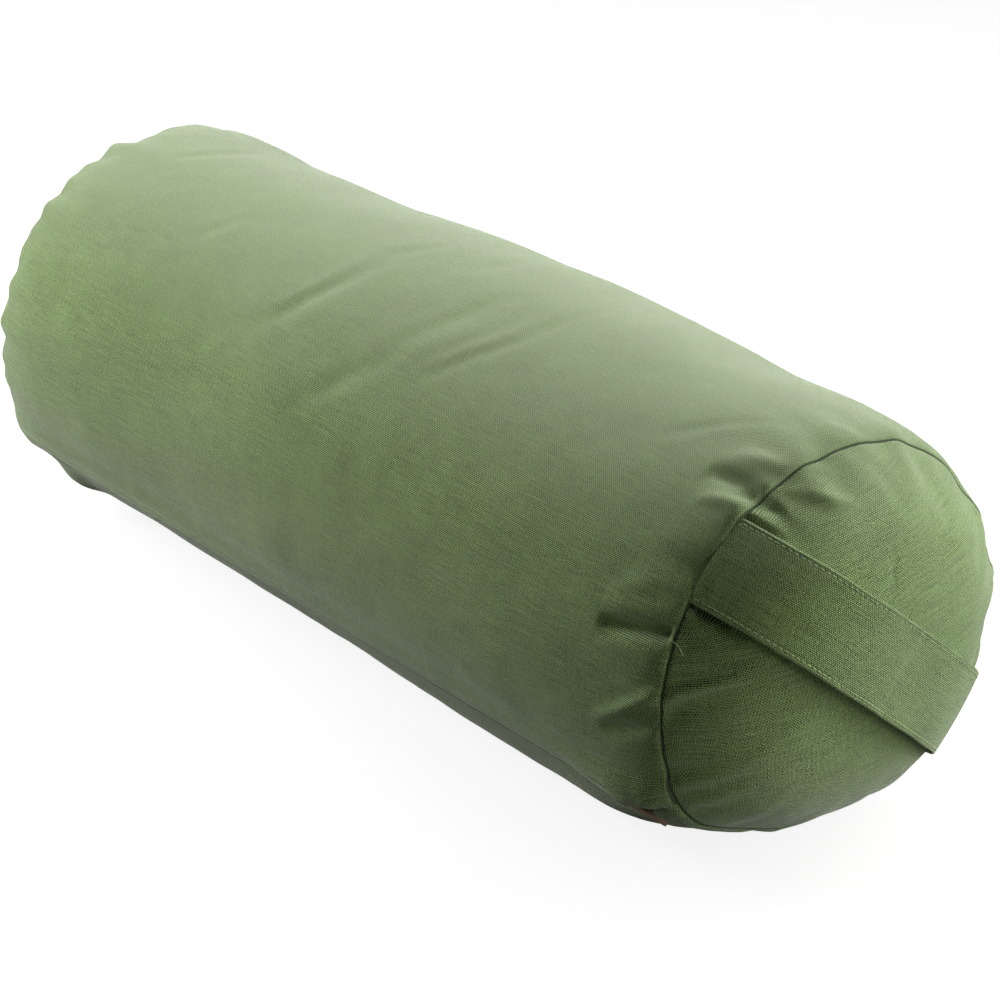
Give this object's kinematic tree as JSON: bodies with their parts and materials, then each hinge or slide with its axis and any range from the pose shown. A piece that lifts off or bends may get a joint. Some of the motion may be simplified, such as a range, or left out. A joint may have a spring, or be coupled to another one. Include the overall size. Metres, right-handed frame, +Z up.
{
  "type": "yoga bolster",
  "caption": "Firm round yoga bolster: a stuffed inner bag in a removable canvas cover with domed ends, a zip hidden under a folded lap and a flat carry handle sewn across one end.",
  "frame": {"origin": "on the floor under the middle of the two end seams, on the strip that the bolster rests on", "axes": "+X along the bolster's axis to the end with the carry handle, +Z up from the floor, -Y to the side with the zip"},
  "size_m": [0.6609, 0.2396, 0.2175],
  "materials": {
    "canvas": "plain-weave cotton canvas, sage green",
    "zip_tape": "woven tape, dark green",
    "antique_brass": "darkened antique brass",
    "calico": "unbleached calico",
    "kapok": "packed plant fibre"
  },
  "bodies": {
    "cushion": {"cover_body": "canvas", "cover_end_near": "canvas", "cover_end_far": "canvas", "carry_handle": "canvas", "zip_tape_upper": "zip_tape", "zip_tape_lower": "zip_tape", "zip_teeth_upper": "antique_brass", "zip_teeth_lower": "antique_brass", "zip_top_stop_upper": "antique_brass", "zip_top_stop_lower": "antique_brass", "zip_bottom_stop": "antique_brass", "liner_body": "calico", "liner_end_near": "calico", "liner_end_far": "calico", "fill_core": "kapok"},
    "slider": {"zip_slider": "antique_brass"},
    "pull_tab": {"zip_pull_tab": "antique_brass"}
  },
  "joints": [
    {"name": "zip_slide", "type": "slide", "parent": "cushion", "child": "slider", "axis": [-1, 0, 0], "range_m": [0, 0.5125], "deforming": ["zip_teeth_upper", "zip_teeth_lower"]},
    {"name": "pull_tab_hinge", "type": "hinge", "parent": "slider", "child": "pull_tab", "pos_m": [0.2579, -0.10018, 0.04407], "axis": [0, 0.5746, -0.8185], "range_deg": [0, 180]}
  ]
}
